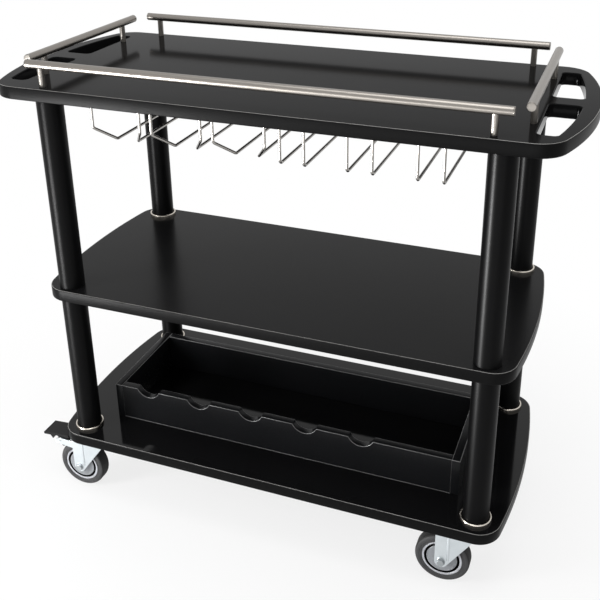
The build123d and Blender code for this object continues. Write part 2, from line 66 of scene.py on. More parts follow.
# fine and broad noise on Object coordinates, stretched along a brushing or drawing direction
def makeGrainGroup():
    tree, inside, outside = newGroup(
        "surfaceGrain",
        [
            ("Stretch", "NodeSocketVector", (1, 1, 1)),
            ("Scale", "NodeSocketFloat", 400.0),
            ("Broad Scale", "NodeSocketFloat", 9.0),
        ],
        [("Fine", "NodeSocketFloat"), ("Broad", "NodeSocketFloat")],
    )
    coord = tree.nodes.new("ShaderNodeTexCoord")
    stretched = tree.nodes.new("ShaderNodeVectorMath")
    stretched.operation = "MULTIPLY"
    tree.links.new(coord.outputs["Object"], stretched.inputs[0])
    tree.links.new(inside.outputs["Stretch"], stretched.inputs[1])
    for label, scale, detail in (("Fine", "Scale", 3.0), ("Broad", "Broad Scale", 2.0)):
        noise = tree.nodes.new("ShaderNodeTexNoise")
        noise.inputs["Detail"].default_value = detail
        tree.links.new(stretched.outputs[0], noise.inputs["Vector"])
        tree.links.new(inside.outputs[scale], noise.inputs["Scale"])
        tree.links.new(noise.outputs["Fac"], outside.inputs[label])
    return tree


# sparse hairline scratches, as left by wiping
def makeScratchGroup():
    tree, inside, outside = newGroup(
        "wipeMarks",
        [("Scale", "NodeSocketFloat", 30.0), ("Spread", "NodeSocketFloat", 0.02)],
        [("Mask", "NodeSocketFloat")],
    )
    coord = tree.nodes.new("ShaderNodeTexCoord")
    total = None
    for turn, stretch in ((0.3, (1.0, 0.06, 1.0)), (-0.5, (0.05, 1.0, 1.0))):
        mapping = tree.nodes.new("ShaderNodeMapping")
        mapping.inputs["Rotation"].default_value = (0, 0, turn)
        mapping.inputs["Scale"].default_value = stretch
        noise = tree.nodes.new("ShaderNodeTexNoise")
        noise.inputs["Detail"].default_value = 2.0
        offset = tree.nodes.new("ShaderNodeMath")
        offset.operation = "SUBTRACT"
        offset.inputs[1].default_value = 0.5
        size = tree.nodes.new("ShaderNodeMath")
        size.operation = "ABSOLUTE"
        line = tree.nodes.new("ShaderNodeMapRange")
        line.inputs["To Min"].default_value = 1.0
        line.inputs["To Max"].default_value = 0.0
        tree.links.new(coord.outputs["Object"], mapping.inputs["Vector"])
        tree.links.new(mapping.outputs["Vector"], noise.inputs["Vector"])
        tree.links.new(inside.outputs["Scale"], noise.inputs["Scale"])
        tree.links.new(noise.outputs["Fac"], offset.inputs[0])
        tree.links.new(offset.outputs[0], size.inputs[0])
        tree.links.new(size.outputs[0], line.inputs["Value"])
        tree.links.new(inside.outputs["Spread"], line.inputs["From Max"])
        if total is None:
            total = line.outputs[0]
        else:
            most = tree.nodes.new("ShaderNodeMath")
            most.operation = "MAXIMUM"
            tree.links.new(total, most.inputs[0])
            tree.links.new(line.outputs[0], most.inputs[1])
            total = most.outputs[0]
    tree.links.new(total, outside.inputs["Mask"])
    return tree


grainGroup = makeGrainGroup()
scratchGroup = makeScratchGroup()


def placeGroup(tree, group, **values):
    node = tree.nodes.new("ShaderNodeGroup")
    node.node_tree = group
    for label, value in values.items():
        node.inputs[label.replace("_", " ")].default_value = value
    return node


# one finish: two close colours and two roughness values mixed by the grain, fine bump, wipe marks
def makeFinish(name, tones, rough, grain, bump=(0.0, 0.0), metallic=0.0, marks=None, drawn=None, **plain):
    material = bpy.data.materials.new(name)
    material.use_nodes = True
    tree = material.node_tree
    shader = tree.nodes["Principled BSDF"]
    shader.inputs["Metallic"].default_value = metallic
    for label, value in plain.items():
        shader.inputs[label.replace("_", " ")].default_value = value
    noise = placeGroup(tree, grainGroup, **grain)
    colour = tree.nodes.new("ShaderNodeMix")
    colour.data_type = "RGBA"
    colour.inputs["A"].default_value = (*tones[0], 1)
    colour.inputs["B"].default_value = (*tones[1], 1)
    tree.links.new(noise.outputs["Broad"], colour.inputs["Factor"])
    tree.links.new(colour.outputs["Result"], shader.inputs["Base Color"])
    level = tree.nodes.new("ShaderNodeMapRange")
    level.inputs["From Min"].default_value = 0.3
    level.inputs["From Max"].default_value = 0.7
    level.inputs["To Min"].default_value = rough[0]
    level.inputs["To Max"].default_value = rough[1]
    tree.links.new(noise.outputs["Fine"], level.inputs["Value"])
    roughness = level.outputs[0]
    if marks:
        scratch = placeGroup(tree, scratchGroup, Scale=marks["scale"], Spread=marks["spread"])
        amount = tree.nodes.new("ShaderNodeMath")
        amount.operation = "MULTIPLY_ADD"
        amount.inputs[1].default_value = marks["rough"]
        tree.links.new(scratch.outputs["Mask"], amount.inputs[0])
        tree.links.new(roughness, amount.inputs[2])
        roughness = amount.outputs[0]
    tree.links.new(roughness, shader.inputs["Roughness"])
    if drawn:  # sheen drawn out along a direction
        shader.inputs["Anisotropic"].default_value = drawn["amount"]
        line = tree.nodes.new("ShaderNodeCombineXYZ")
        for socket, value in zip(line.inputs, drawn["along"]):
            socket.default_value = value
        tree.links.new(line.outputs[0], shader.inputs["Tangent"])
    if bump[0]:
        relief = tree.nodes.new("ShaderNodeBump")
        relief.inputs["Strength"].default_value = bump[0]
        relief.inputs["Distance"].default_value = bump[1]
        tree.links.new(noise.outputs["Fine"], relief.inputs["Height"])
        tree.links.new(relief.outputs["Normal"], shader.inputs["Normal"])
    return material


even = {"Stretch": (1, 1, 1), "Scale": 700.0, "Broad_Scale": 6.0}
alongX = {"Stretch": (0.012, 1, 1), "Scale": 2600.0, "Broad_Scale": 60.0}
alongY = {"Stretch": (1, 0.012, 1), "Scale": 2600.0, "Broad_Scale": 60.0}
roundZ = {"Stretch": (0.02, 0.02, 1), "Scale": 2600.0, "Broad_Scale": 60.0}
highlightGrain = {"Stretch": (1, 1, 1), "Scale": 300.0, "Broad_Scale": 40.0}
rubberGrain = {"Stretch": (1, 1, 1), "Scale": 1100.0, "Broad_Scale": 45.0}
zincGrain = {"Stretch": (1, 1, 1), "Scale": 900.0, "Broad_Scale": 70.0}
wipes = {"scale": 26.0, "spread": 0.006, "rough": 0.02}

finishes = {
    "topLaminate": makeFinish("topLaminate", [(0.004, 0.004, 0.0042), (0.006, 0.006, 0.0063)], (0.1, 0.13), even,
                              (0.004, 0.0004), marks=wipes, Specular_IOR_Level=0.014),
    "middleLaminate": makeFinish("middleLaminate", [(0.006, 0.006, 0.0063), (0.009, 0.009, 0.0094)], (0.2, 0.26), even,
                                 (0.012, 0.0004), marks=wipes, Specular_IOR_Level=0.08),
    "bottomLaminate": makeFinish("bottomLaminate", [(0.004, 0.004, 0.0043), (0.006, 0.006, 0.0064)], (0.06, 0.09), even,
                                 (0.008, 0.0004), marks=wipes, Specular_IOR_Level=0.2),
    # painted highlight: the shelves' upper rims are painted pale, standing in for the light their rounded edges catch
    "edgeHighlight": makeFinish("edgeHighlight", [(0.15, 0.147, 0.142), (0.24, 0.235, 0.225)], (0.35, 0.5),
                           highlightGrain),
    "edgeBand": makeFinish("edgeBand", [(0.005, 0.005, 0.0051), (0.007, 0.007, 0.0072)], (0.3, 0.38), even,
                           (0.02, 0.0004), Specular_IOR_Level=0.035),
    # painted highlight: the bottle boards' rims and a line along the front board's foot are painted pale, standing in
    # for light caught on those edges
    "rackEdgeHighlight": makeFinish("rackEdgeHighlight", [(0.12, 0.12, 0.12), (0.18, 0.18, 0.18)], (0.35, 0.5),
                           highlightGrain),
    "rackLacquer": makeFinish("rackLacquer", [(0.006, 0.0063, 0.007), (0.009, 0.0094, 0.0104)], (0.22, 0.28), even,
                              (0.02, 0.0004), Specular_IOR_Level=0.12),
    "postPaint": makeFinish("postPaint", [(0.003, 0.003, 0.0032), (0.0045, 0.0045, 0.0048)], (0.36, 0.42), even,
                            (0.02, 0.0003), drawn={"along": (0, 0, 1), "amount": 0.6}, Specular_IOR_Level=0.05),
    "railSteelX": makeFinish("railSteelX", [(0.27, 0.25, 0.228), (0.22, 0.206, 0.189)], (0.3, 0.38), alongX,
                             (0.02, 0.0002), metallic=1.0),
    "railSteelY": makeFinish("railSteelY", [(0.27, 0.25, 0.228), (0.22, 0.206, 0.189)], (0.3, 0.38), alongY,
                             (0.02, 0.0002), metallic=1.0),
    "turnedSteel": makeFinish("turnedSteel", [(0.22, 0.206, 0.188), (0.18, 0.168, 0.154)], (0.34, 0.42), roundZ,
                              (0.03, 0.0002), metallic=1.0),
    "collarSteel": makeFinish("collarSteel", [(0.6, 0.555, 0.49), (0.52, 0.48, 0.43)], (0.18, 0.26), roundZ,
                              (0.02, 0.0002), metallic=1.0),
    "chrome": makeFinish("chrome", [(0.36, 0.345, 0.325), (0.3, 0.288, 0.272)], (0.2, 0.27), even, (0.01, 0.0002),
                         metallic=1.0),
    "zinc": makeFinish("zinc", [(0.62, 0.66, 0.68), (0.53, 0.57, 0.59)], (0.34, 0.44), zincGrain,
                       (0.03, 0.0003), metallic=1.0),
    "boltSteel": makeFinish("boltSteel", [(0.36, 0.38, 0.39), (0.28, 0.3, 0.31)], (0.42, 0.5), even, (0.03, 0.0003),
                            metallic=1.0),
    "tyreRubber": makeFinish("tyreRubber", [(0.05, 0.05, 0.0515), (0.066, 0.066, 0.0675)], (0.6, 0.75),
                             rubberGrain, (0.12, 0.0005),
                             Specular_IOR_Level=0.2),
    "tyreTread": makeFinish("tyreTread", [(0.018, 0.018, 0.018), (0.028, 0.0275, 0.027)], (0.6, 0.75),
                            rubberGrain, (0.12, 0.0005),
                            Specular_IOR_Level=0.2),
    "hubGrey": makeFinish("hubGrey", [(0.27, 0.282, 0.3), (0.3, 0.312, 0.33)], (0.4, 0.5), even, (0.03, 0.0004),
                          Specular_IOR_Level=0.25),
    "rimGrey": makeFinish("rimGrey", [(0.5, 0.51, 0.55), (0.56, 0.57, 0.6)], (0.32, 0.42), even, (0.03, 0.0004),
                          Specular_IOR_Level=0.3),
    "grooveBlack": makeFinish("grooveBlack", [(0.003, 0.003, 0.003), (0.005, 0.005, 0.005)], (0.6, 0.7), even,
                              Specular_IOR_Level=0.05),
    "pedalBlack": makeFinish("pedalBlack", [(0.006, 0.006, 0.0063), (0.009, 0.009, 0.0094)], (0.35, 0.5), even,
                             (0.1, 0.0005), Specular_IOR_Level=0.15),
    "hiddenWood": makeFinish("hiddenWood", [(0.5, 0.36, 0.22), (0.4, 0.28, 0.16)], (0.5, 0.7), alongX),
}
print("finishes:", len(finishes))


# mesh helpers

def tidyMesh(bm, name):
    bmesh.ops.remove_doubles(bm, verts=bm.verts, dist=1e-6)
    bmesh.ops.recalc_face_normals(bm, faces=bm.faces)
    mesh = bpy.data.meshes.new(name)
    bm.to_mesh(mesh)
    bm.free()
    return mesh


def addPiece(name, mesh, node, finish, smooth=35.0, extra=()):
    names = [node] if isinstance(node, str) else list(node)
    strips = [polygon.material_index for polygon in mesh.polygons]
    mesh.materials.clear()
    for label in [finish] + list(extra):
        mesh.materials.append(finishes[label])
    if extra:
        mesh.polygons.foreach_set("material_index", strips)
    if smooth:
        mesh.shade_smooth()
        mesh.set_sharp_from_angle(angle=math.radians(smooth))
    piece = bpy.data.objects.new(name, mesh)
    scene.collection.objects.link(piece)
    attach(piece, bodyOf[names[0]])
    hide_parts(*names)
    return piece


# turned solid: (radius, height) pairs about Z, moved by a matrix; tones gives a finish number per strip
def lathe(bm, profile, place, segments=72, ring=False, tones=None):
    rows = []
    for radius, height in profile:
        if radius < 1e-7:
            rows.append([bm.verts.new(place @ Vector((0, 0, height)))])
            continue
        row = []
        for i in range(segments):
            a = 2 * math.pi * i / segments
            row.append(bm.verts.new(place @ Vector((radius * math.cos(a), radius * math.sin(a), height))))
        rows.append(row)
    count = len(rows) if ring else len(rows) - 1
    for k in range(count):
        low, high = rows[k], rows[(k + 1) % len(rows)]
        for i in range(segments):
            j = (i + 1) % segments
            if len(low) == 1 and len(high) == 1:
                continue
            if len(low) == 1:
                corners = [low[0], high[j], high[i]]
            elif len(high) == 1:
                corners = [low[i], low[j], high[0]]
            else:
                corners = [low[i], low[j], high[j], high[i]]
            face = bm.faces.new(corners)
            if tones:
                face.material_index = tones[k]


# quarter round from one profile point to the next, about a centre
def quarter(cx, cz, radius, start, end, steps=6):
    return [
        (cx + radius * math.cos(math.radians(start + (end - start) * i / steps)),
         cz + radius * math.sin(math.radians(start + (end - start) * i / steps)))
        for i in range(steps + 1)
    ]


def evaluated(holder, name):
    depsgraph = bpy.context.evaluated_depsgraph_get()
    mesh = bpy.data.meshes.new_from_object(holder.evaluated_get(depsgraph))
    mesh.name = name
    data = holder.data
    bpy.data.objects.remove(holder)
    if data.users == 0 and isinstance(data, bpy.types.Mesh):
        bpy.data.meshes.remove(data)
    return mesh


# copy of a CAD node with its sharp edges broken; large flats stay flat and folds between them stay crisp
def brokenEdges(node, width, angle=35.0, segments=2):
    bm = bmesh.new()
    bm.from_mesh(cadNodes[node].data)
    bmesh.ops.remove_doubles(bm, verts=bm.verts, dist=2e-5)
    bmesh.ops.dissolve_limit(bm, angle_limit=math.radians(1.0), verts=bm.verts, edges=bm.edges)
    for edge in bm.edges:
        wide = len(edge.link_faces) == 2 and min(f.calc_area() for f in edge.link_faces) > 1e-4
        edge.smooth = not (wide and math.radians(3.0) < edge.calc_face_angle(0) < math.radians(angle))
    for face in bm.faces:
        face.smooth = True
    mesh = bpy.data.meshes.new(node + "Copy")
    bm.to_mesh(mesh)
    bm.free()
    holder = bpy.data.objects.new(node + "Copy", mesh)
    scene.collection.objects.link(holder)
    bevel = holder.modifiers.new("edges", "BEVEL")
    bevel.width = width
    bevel.segments = segments
    bevel.limit_method = "ANGLE"
    bevel.angle_limit = math.radians(angle)
    flats = holder.modifiers.new("flats", "WEIGHTED_NORMAL")
    flats.keep_sharp = True
    flats.weight = 90
    return evaluated(holder, node + "Edged")


# flat slab from closed outlines, the first one outside; finish 1, a painted highlight, goes on a strip of its rounded
# rims, or with band only of the outer rim, which then has finish 2 on its upright face
def slab(name, outlines, thickness, rounding, highlightStrip, both=False, band=False):
    curve = bpy.data.curves.new(name, "CURVE")
    curve.dimensions = "2D"
    curve.fill_mode = "BOTH"
    curve.extrude = thickness / 2 - rounding
    curve.bevel_depth = rounding
    curve.bevel_resolution = 3
    curve.offset = -rounding
    for points in outlines:
        spline = curve.splines.new("POLY")
        spline.points.add(len(points) - 1)
        for point, (x, y) in zip(spline.points, points):
            point.co = (x, y, 0, 1)
        spline.use_cyclic_u = True
    holder = bpy.data.objects.new(name, curve)
    scene.collection.objects.link(holder)
    mesh = evaluated(holder, name)
    bm = bmesh.new()
    bm.from_mesh(mesh)
    bpy.data.meshes.remove(mesh)
    mesh = tidyMesh(bm, name)
    # rim faces tilted within the strip get finish 1, the painted highlight
    for polygon in mesh.polygons:
        lift = abs(polygon.normal.z) if both else polygon.normal.z
        polygon.material_index = 1 if highlightStrip[0] < lift < highlightStrip[1] else 0
        if band and abs(lift) < highlightStrip[1]:
            way = polygon.normal.xy.normalized()
            edge = max(way.dot(Vector(point)) for point in outlines[0])
            outer = way.dot(polygon.center.xy) > edge - 2 * rounding
            polygon.material_index = (1 if lift > highlightStrip[0] else 2) if outer else 0
    mesh.shade_smooth()
    mesh.set_sharp_from_angle(angle=math.radians(25.0))
    for polygon in mesh.polygons:
        polygon.use_smooth = abs(polygon.normal.z) < 0.999  # the broad faces stay flat
    return mesh


# separate solids of a CAD node: middle, lowest and highest corner of each
def islands(node):
    bm = bmesh.new()
    bm.from_mesh(cadNodes[node].data)
    bmesh.ops.remove_doubles(bm, verts=bm.verts, dist=2e-5)
    left = set(bm.verts)
    found = []
    while left:
        stack = [left.pop()]
        corners = []
        while stack:
            vert = stack.pop()
            corners.append(vert.co.copy())
            for edge in vert.link_edges:
                other = edge.other_vert(vert)
                if other in left:
                    left.remove(other)
                    stack.append(other)
        low = Vector([min(c[k] for c in corners) for k in range(3)])
        high = Vector([max(c[k] for c in corners) for k in range(3)])
        found.append(((low + high) / 2, low, high))
    bm.free()
    return found


# shelves

shelfSet = {
    "rounding": 0.0025,
    # the strip: tilt of the upper rim faces that are painted as a highlight
    "highlightStrip": (0.6, 0.92),
    "top_shelf": {"bow": 0.6, "corner": 0.055, "finish": "topLaminate"},
    "middle_shelf": {"bow": 1.2, "corner": 0.048, "finish": "middleLaminate"},
    "bottom_shelf": {"bow": 1.2, "corner": 0.048, "finish": "bottomLaminate"},
    "grip": {"rim": 0.03, "depth": 0.056, "web": 0.044, "margin": 0.047, "arc": 0.8, "corner": 0.01},
}


def arcPoints(cx, cy, radius, start, end, steps):
    turns = [start + (end - start) * i / steps for i in range(steps + 1)]
    return [(cx + radius * math.cos(a), cy + radius * math.sin(a)) for a in turns]


# board outline, counter-clockwise: bowed ends, rounded corners
def boardOutline(length, width, bow, corner):
    half, side = length / 2, width / 2
    cx = half - bow
    reach = cx + math.sqrt((bow - corner) ** 2 - (side - corner) ** 2)
    turn = math.atan2(side - corner, reach - cx)
    right = arcPoints(reach, corner - side, corner, -math.pi / 2, -turn, 14)
    right += arcPoints(cx, 0, bow, -turn, turn, 60)[1:-1]
    right += arcPoints(reach, side - corner, corner, turn, math.pi / 2, 14)
    return right + [(-x, -y) for x, y in right]


def roundedCorners(points, corners, radius, steps=8):
    rounded = []
    for i, point in enumerate(points):
        if i not in corners:
            rounded.append(point)
            continue
        here = Vector(point)
        before = (Vector(points[i - 1]) - here).normalized()
        after = (Vector(points[(i + 1) % len(points)]) - here).normalized()
        half = before.angle(after) / 2
        along = radius / math.tan(half)
        centre = here + (before + after).normalized() * (radius / math.sin(half))
        start, end = here + before * along - centre, here + after * along - centre
        total = start.angle_signed(end)
        for k in range(steps + 1):
            spin = Matrix.Rotation(-total * k / steps, 2)
            rounded.append(tuple(centre + spin @ start))
    return rounded


def gripOutline(length, width, grip, sx, sy):
    outer = length / 2 - grip["rim"]
    inner = outer - grip["depth"]
    near, far = grip["web"] / 2, width / 2 - grip["margin"]
    centre = outer - grip["arc"]
    lo, hi = math.asin(near / grip["arc"]), math.asin(far / grip["arc"])
    curved = arcPoints(centre, 0, grip["arc"], lo, hi, 24)
    keep = [curved[0]] + [p for p in curved[1:-1] if near + 0.012 < p[1] < far - 0.012] + [curved[-1]]
    points = [(inner, near)] + keep + [(inner, far)]
    last = len(points) - 1
    points = roundedCorners(points, (0, 1, last - 1, last), grip["corner"])
    points = [(sx * x, sy * y) for x, y in points]
    return points if sx * sy < 0 else points[::-1]  # holes run clockwise


for node in ("top_shelf", "middle_shelf", "bottom_shelf"):
    low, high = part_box(node)
    length, width, thickness = high - low
    values = shelfSet[node]
    outlines = [boardOutline(length, width, values["bow"], values["corner"])]
    if node == "top_shelf":
        outlines += [gripOutline(length, width, shelfSet["grip"], sx, sy) for sx in (-1, 1) for sy in (-1, 1)]
    mesh = slab(node + "Slab", outlines, thickness, shelfSet["rounding"], shelfSet["highlightStrip"], band=True)
    mesh.transform(Matrix.Translation((0, 0, (low.z + high.z) / 2)))
    # finish 1 paints the highlight on the upper rims, finish 2 is the upright edge face
    addPiece(node + "Board", mesh, node, values["finish"], smooth=None, extra=("edgeHighlight", "edgeBand"))
print("shelves done")


# posts and trim rings

postSet = {"edge": 0.0006, "segments": 96}
collarSet = {"gap": 0.0004, "segments": 96, "steps": 10}

for node in [n for n in cadNodes if "_post_" in n]:
    low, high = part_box(node)
    radius = (high.x - low.x) / 2
    edge = postSet["edge"]
    z0, z1 = low.z, high.z
    profile = [(0, z0), (radius - edge, z0), (radius, z0 + edge), (radius, z1 - edge), (radius - edge, z1), (0, z1)]
    bm = bmesh.new()
    lathe(bm, profile, Matrix.Translation(((low.x + high.x) / 2, (low.y + high.y) / 2, 0)), postSet["segments"])
    addPiece(node + "Tube", tidyMesh(bm, node + "Tube"), node, "postPaint")

for node in ("collars_middle", "collars_bottom"):
    bm = bmesh.new()
    for middle, low, high in islands(node):
        outer = (high.x - low.x) / 2
        postLow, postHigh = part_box("lower_post_fl")
        inner = (postHigh.x - postLow.x) / 2 + collarSet["gap"]
        tall = high.z - low.z
        half = (outer - inner) / 2
        crown = quarter(0, 0, 1, 0, 180, collarSet["steps"])
        profile = [(inner, 0), (outer, 0), (outer, tall - half)]
        profile += [(inner + half + half * x, tall - half + half * z) for x, z in crown[1:]]
        lathe(bm, profile, Matrix.Translation((middle.x, middle.y, low.z)), collarSet["segments"], ring=True)
    addPiece(node + "Rings", tidyMesh(bm, node + "Rings"), node, "collarSteel", smooth=40.0)
print("posts and rings done")


# rails, caps and standoffs

railSet = {"segments": 64, "seam": 0.0003, "capRound": 0.0012, "footEdge": 0.0004, "standoffSegments": 48}

for node in ("front_rail", "back_rail", "left_rail", "right_rail"):
    low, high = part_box(node)
    lengthwise = node in ("front_rail", "back_rail")
    radius = (high.z - low.z) / 2
    half = (high.x - low.x) / 2 if lengthwise else (high.y - low.y) / 2
    seam = railSet["seam"]
    turn = Matrix.Rotation(math.pi / 2, 4, "Y" if lengthwise else "X")
    place = Matrix.Translation((low + high) / 2) @ turn
    profile = [(0, -half), (radius - seam, -half), (radius, -half + seam)]
    profile += [(radius, half - seam), (radius - seam, half), (0, half)]
    bm = bmesh.new()
    lathe(bm, profile, place, railSet["segments"])
    addPiece(node + "Tube", tidyMesh(bm, node + "Tube"), node, "railSteelX" if lengthwise else "railSteelY")

bm = bmesh.new()
for middle, low, high in islands("rail_caps"):
    lengthwise = abs(middle.y) > abs(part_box("left_rail")[1].y)
    radius = (high.z - low.z) / 2
    outward = 1 if (middle.x if lengthwise else middle.y) > 0 else -1
    tip = (high.x if outward > 0 else low.x) if lengthwise else (high.y if outward > 0 else low.y)
    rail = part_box("front_rail" if lengthwise else "left_rail")
    seat = (rail[1].x if lengthwise else rail[1].y) * outward
    thick = abs(tip - seat)
    roundOff = railSet["capRound"]
    profile = [(0, -0.004), (radius - 0.002, -0.004), (radius - 0.002, 0.0001), (radius - 0.0002, 0.0001)]
    profile += [(radius, 0.0004)] + quarter(radius - roundOff, thick - roundOff, roundOff, 0, 90, 5) + [(0, thick)]
    spot = Vector((seat, middle.y, middle.z)) if lengthwise else Vector((middle.x, seat, middle.z))
    quarterTurn = outward * math.pi / 2
    spin = Matrix.Rotation(quarterTurn, 4, "Y") if lengthwise else Matrix.Rotation(-quarterTurn, 4, "X")
    lathe(bm, profile, Matrix.Translation(spot) @ spin, railSet["segments"])
addPiece("railCapDiscs", tidyMesh(bm, "railCapDiscs"), "rail_caps", "turnedSteel")

bm = bmesh.new()
railMiddle = sum(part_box("front_rail"), Vector()).z / 2
for middle, low, high in islands("rail_standoffs"):
    radius = min(high.x - low.x, high.y - low.y) / 2
    foot = railSet["footEdge"]
    profile = [(0, 0), (radius - foot, 0), (radius, foot), (radius, railMiddle - low.z), (0, railMiddle - low.z)]
    lathe(bm, profile, Matrix.Translation((middle.x, middle.y, low.z)), railSet["standoffSegments"])
addPiece("railStandoffRods", tidyMesh(bm, "railStandoffRods"), "rail_standoffs", "turnedSteel")
print("rails done")


# stemware racks: bent wires from a node tree, straps from the frame

rackSet = {
    "wire": 0.0055, "bend": 0.009, "pitch": 0.124, "spacing": 0.045, "count": 3, "flareSpread": 0.0275,
    "flareLength": 0.036, "flareDrop": 0.049, "drop": 0.079, "openInset": 0.032, "closedInset": 0.045,
    "strap": 0.003, "strapEdge": 0.0005, "sides": 20,
}


def makeWireTree():
    tree = bpy.data.node_groups.new("bentWires", "GeometryNodeTree")
    face = tree.interface
    face.new_socket("Geometry", in_out="INPUT", socket_type="NodeSocketGeometry")
    for label, kind in (("Wire Diameter", "NodeSocketFloat"), ("Bend Radius", "NodeSocketFloat"),
                        ("Slot Pitch", "NodeSocketFloat"), ("Slot Count", "NodeSocketInt"),
                        ("Wire Sides", "NodeSocketInt"), ("Finish", "NodeSocketMaterial")):
        face.new_socket(label, in_out="INPUT", socket_type=kind)
    face.new_socket("Geometry", in_out="OUTPUT", socket_type="NodeSocketGeometry")
    add, link = tree.nodes.new, tree.links.new
    inside, outside = add("NodeGroupInput"), add("NodeGroupOutput")
    bends = add("GeometryNodeFilletCurve")
    bends.mode = "POLY"
    bends.inputs["Count"].default_value = 8
    link(inside.outputs["Geometry"], bends.inputs["Curve"])
    link(inside.outputs["Bend Radius"], bends.inputs["Radius"])
    radius = add("ShaderNodeMath")
    radius.operation = "MULTIPLY"
    radius.inputs[1].default_value = 0.5
    link(inside.outputs["Wire Diameter"], radius.inputs[0])
    outline = add("GeometryNodeCurvePrimitiveCircle")
    link(inside.outputs["Wire Sides"], outline.inputs["Resolution"])
    link(radius.outputs[0], outline.inputs["Radius"])
    wire = add("GeometryNodeCurveToMesh")
    wire.inputs["Fill Caps"].default_value = True
    link(bends.outputs["Curve"], wire.inputs["Curve"])
    link(outline.outputs["Curve"], wire.inputs["Profile Curve"])
    # first slot sits half the row to the left
    steps = add("ShaderNodeMath")
    steps.operation = "SUBTRACT"
    steps.inputs[1].default_value = 1.0
    link(inside.outputs["Slot Count"], steps.inputs[0])
    row = add("ShaderNodeMath")
    row.operation = "MULTIPLY"
    link(steps.outputs[0], row.inputs[0])
    link(inside.outputs["Slot Pitch"], row.inputs[1])
    left = add("ShaderNodeMath")
    left.operation = "MULTIPLY"
    left.inputs[1].default_value = -0.5
    link(row.outputs[0], left.inputs[0])
    start, offset = add("ShaderNodeCombineXYZ"), add("ShaderNodeCombineXYZ")
    link(left.outputs[0], start.inputs["X"])
    link(inside.outputs["Slot Pitch"], offset.inputs["X"])
    spots = add("GeometryNodeMeshLine")
    link(inside.outputs["Slot Count"], spots.inputs["Count"])
    link(start.outputs[0], spots.inputs["Start Location"])
    link(offset.outputs[0], spots.inputs["Offset"])
    repeat = add("GeometryNodeInstanceOnPoints")
    link(spots.outputs["Mesh"], repeat.inputs["Points"])
    link(wire.outputs["Mesh"], repeat.inputs["Instance"])
    real = add("GeometryNodeRealizeInstances")
    link(repeat.outputs["Instances"], real.inputs["Geometry"])
    finish = add("GeometryNodeSetMaterial")
    link(real.outputs["Geometry"], finish.inputs["Geometry"])
    link(inside.outputs["Finish"], finish.inputs["Material"])
    link(finish.outputs["Geometry"], outside.inputs["Geometry"])
    return tree


def setInputs(modifier, **values):
    for item in modifier.node_group.interface.items_tree:
        key = item.name.replace(" ", "_")
        if item.in_out == "INPUT" and key in values:
            modifier[item.identifier] = values[key]


wireTree = makeWireTree()
shelfLow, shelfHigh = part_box("top_shelf")
for side, turn in (("left", 0.0), ("right", math.pi)):
    values = rackSet
    under = shelfLow.z
    openY = shelfHigh.y - values["openInset"]
    closedY = shelfHigh.y - values["closedInset"]
    curve = bpy.data.curves.new(side + "RackPath", "CURVE")
    curve.dimensions = "3D"
    for sign in (-1, 1):
        inner = sign * values["spacing"] / 2
        outer = inner + sign * values["flareSpread"]
        path = [
            (outer, -openY, under - values["strap"] * 0.5),
            (outer, -openY, under - values["flareDrop"]),
            (inner, values["flareLength"] - openY, under - values["drop"]),
            (inner, closedY, under - values["drop"]),
            (inner, closedY, under - values["strap"] * 0.5),
        ]
        spline = curve.splines.new("POLY")
        spline.points.add(len(path) - 1)
        for point, place in zip(spline.points, path):
            point.co = (*place, 1)
    holder = bpy.data.objects.new(side + "RackPath", curve)
    scene.collection.objects.link(holder)
    wires = holder.modifiers.new("wires", "NODES")
    wires.node_group = wireTree
    setInputs(wires, Wire_Diameter=values["wire"], Bend_Radius=values["bend"], Slot_Pitch=values["pitch"],
              Slot_Count=values["count"], Wire_Sides=values["sides"], Finish=finishes["chrome"])
    mesh = evaluated(holder, side + "RackWires")
    low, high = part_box(side + "_rack_wires")
    mesh.transform(Matrix.Translation(((low.x + high.x) / 2, 0, 0)) @ Matrix.Rotation(turn, 4, "Z"))
    bm = bmesh.new()
    bm.from_mesh(mesh)
    addPiece(side + "RackWires", tidyMesh(bm, side + "RackWires"), side + "_rack_wires", "chrome", smooth=40.0)
    straps = side + "_rack_straps"
    addPiece(side + "RackStraps", brokenEdges(straps, values["strapEdge"]), straps, "chrome", smooth=None)
print("stemware racks done")


# bottle rack

# the strip: tilt of the board rim faces that are painted as a highlight
bottleSet = {"edge": 0.001, "highlightStrip": (0.15, 0.97), "notch": 0.029, "notchDepth": 0.017, "pitch": 0.122,
             "places": 6, "cut": 5, "notchSteps": 28, "foot": (0.0012, 0.0003), "footInset": 0.002}

low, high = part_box("bottle_front_board")
values = bottleSet
tall, half = high.z - low.z, (high.x - low.x) / 2
rise = values["notch"] - values["notchDepth"]
span = math.asin(math.sqrt(values["notch"] ** 2 - rise ** 2) / values["notch"])
outline = [(-half, 0), (half, 0), (half, tall)]
# the solid has a notch at all six places; the photograph shows the right one uncut
for i in reversed(range(values["cut"])):
    x = values["pitch"] * (i - (values["places"] - 1) / 2)
    ends = -math.pi / 2 + span, -math.pi / 2 - span
    outline += arcPoints(x, tall + rise, values["notch"], *ends, values["notchSteps"])
outline += [(-half, tall)]
# the rims on both faces of the front board are painted pale, a painted highlight
mesh = slab("bottleFrontBoard", [outline], high.y - low.y, values["edge"], values["highlightStrip"], both=True)
mesh.transform(Matrix.Translation((0, (low.y + high.y) / 2, low.z)) @ Matrix.Rotation(math.pi / 2, 4, "X"))
foot = bmesh.new()  # pale line along the foot of the front board, a painted highlight on its lower edge
foot.from_mesh(mesh)
line = bmesh.ops.create_cube(foot, size=1.0)["verts"]
bmesh.ops.scale(foot, vec=(high.x - low.x - values["footInset"], values["foot"][1] * 2, values["foot"][0]), verts=line)
bmesh.ops.translate(foot, vec=(0, low.y, low.z + values["foot"][0]), verts=line)
for face in {f for v in line for f in v.link_faces}:
    face.material_index = 1
foot.to_mesh(mesh)
foot.free()
addPiece("bottleFrontBoard", mesh, "bottle_front_board", "rackLacquer", smooth=None, extra=("rackEdgeHighlight",))
